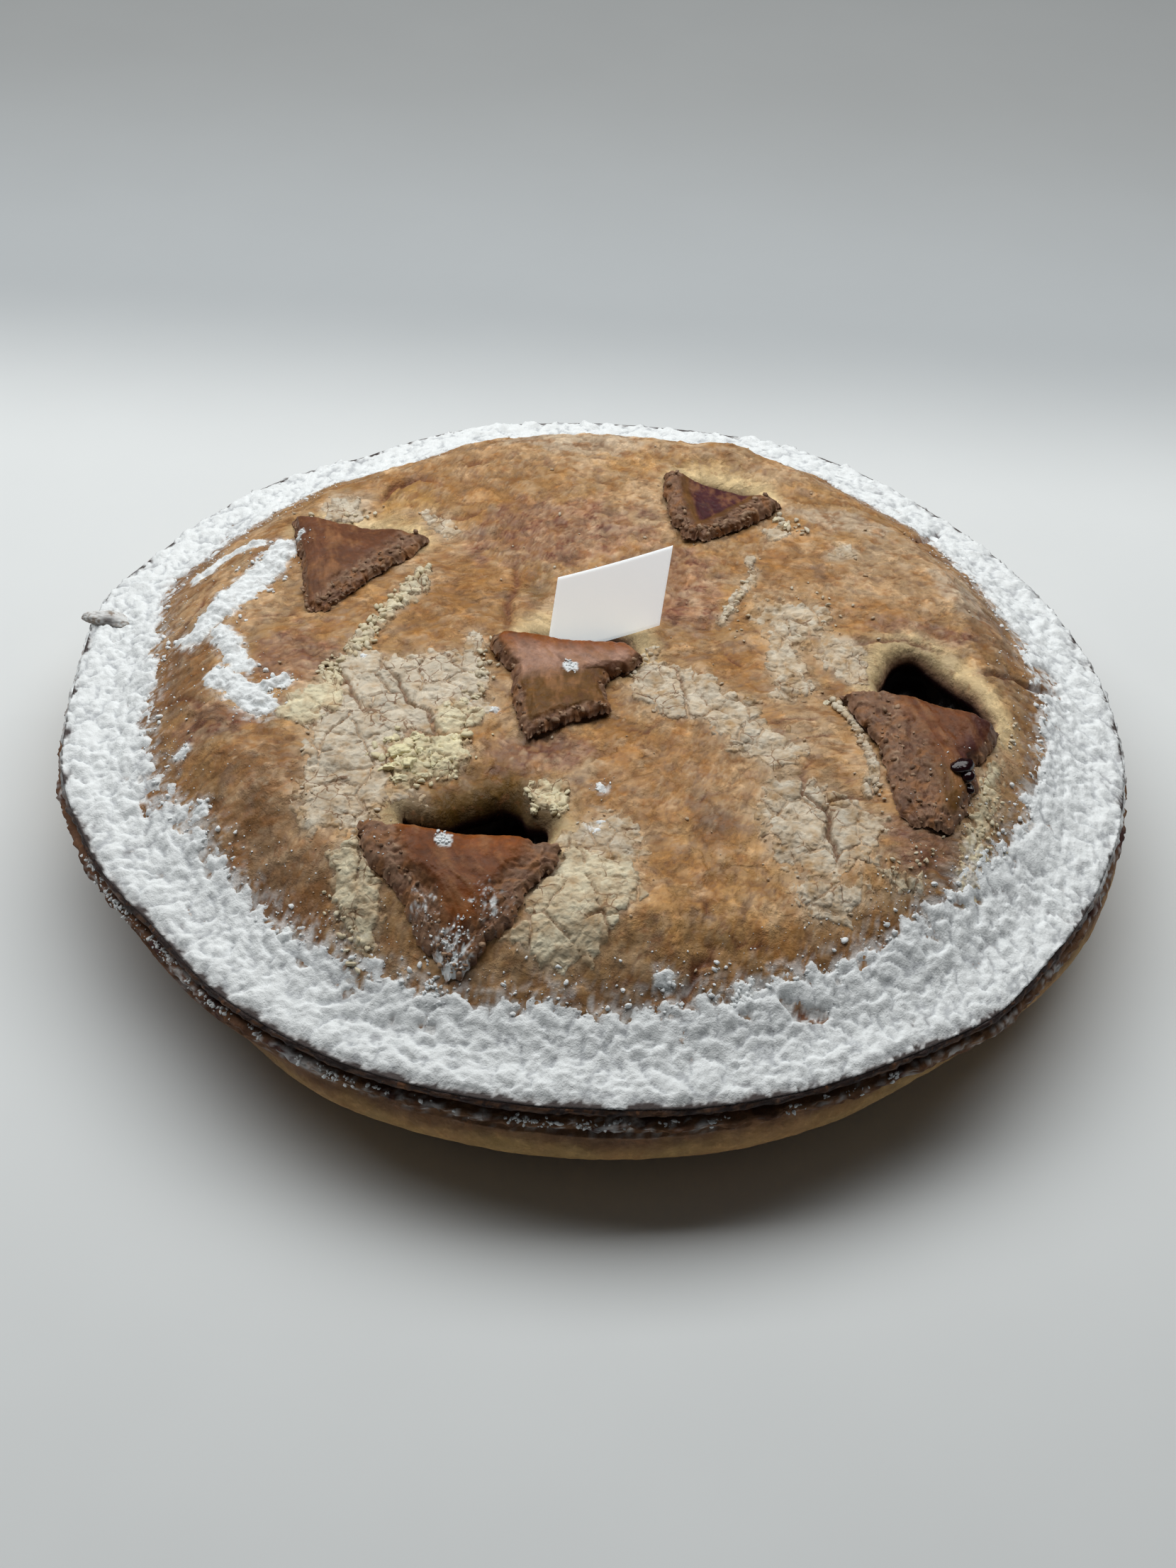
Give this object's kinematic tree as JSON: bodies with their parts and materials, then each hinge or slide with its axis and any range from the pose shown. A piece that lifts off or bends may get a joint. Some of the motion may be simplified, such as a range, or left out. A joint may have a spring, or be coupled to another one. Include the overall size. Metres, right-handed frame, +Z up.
{
  "type": "cherry pie",
  "caption": "Round covered cherry pie with a puffed lid, cuts folded forward, dark filling under them, a sugared rim and a small bare paper card.",
  "frame": {"origin": "centre of the flat underside, on the surface the pie stands on", "axes": "+Z up through the middle of the lid; the folded cuts point to -Y, the side that faces the viewer; +X to the viewer's right"},
  "size_m": [0.283, 0.2829, 0.0816],
  "materials": {
    "crust_base": "baked shortcrust, pale and sandy, matte",
    "crust_lid": "baked golden tan crust, mottled, matte to faintly glossy",
    "crust_flap": "darker brown folded crust with rough torn sides",
    "filling": "dark cherry filling, glossy",
    "sugar": "icing sugar, powdery",
    "card": "smooth white paper, bare"
  },
  "bodies": {
    "root": {"base_crust": "crust_base", "cherry_filling": "filling", "lid_crust": "crust_lid", "icing_sugar": "sugar", "flap_front": "crust_flap", "flap_right": "crust_flap", "flap_centre": "crust_flap", "flap_back_left": "crust_flap", "flap_back_right": "crust_flap", "label_card": "card"}
  },
  "joints": []
}
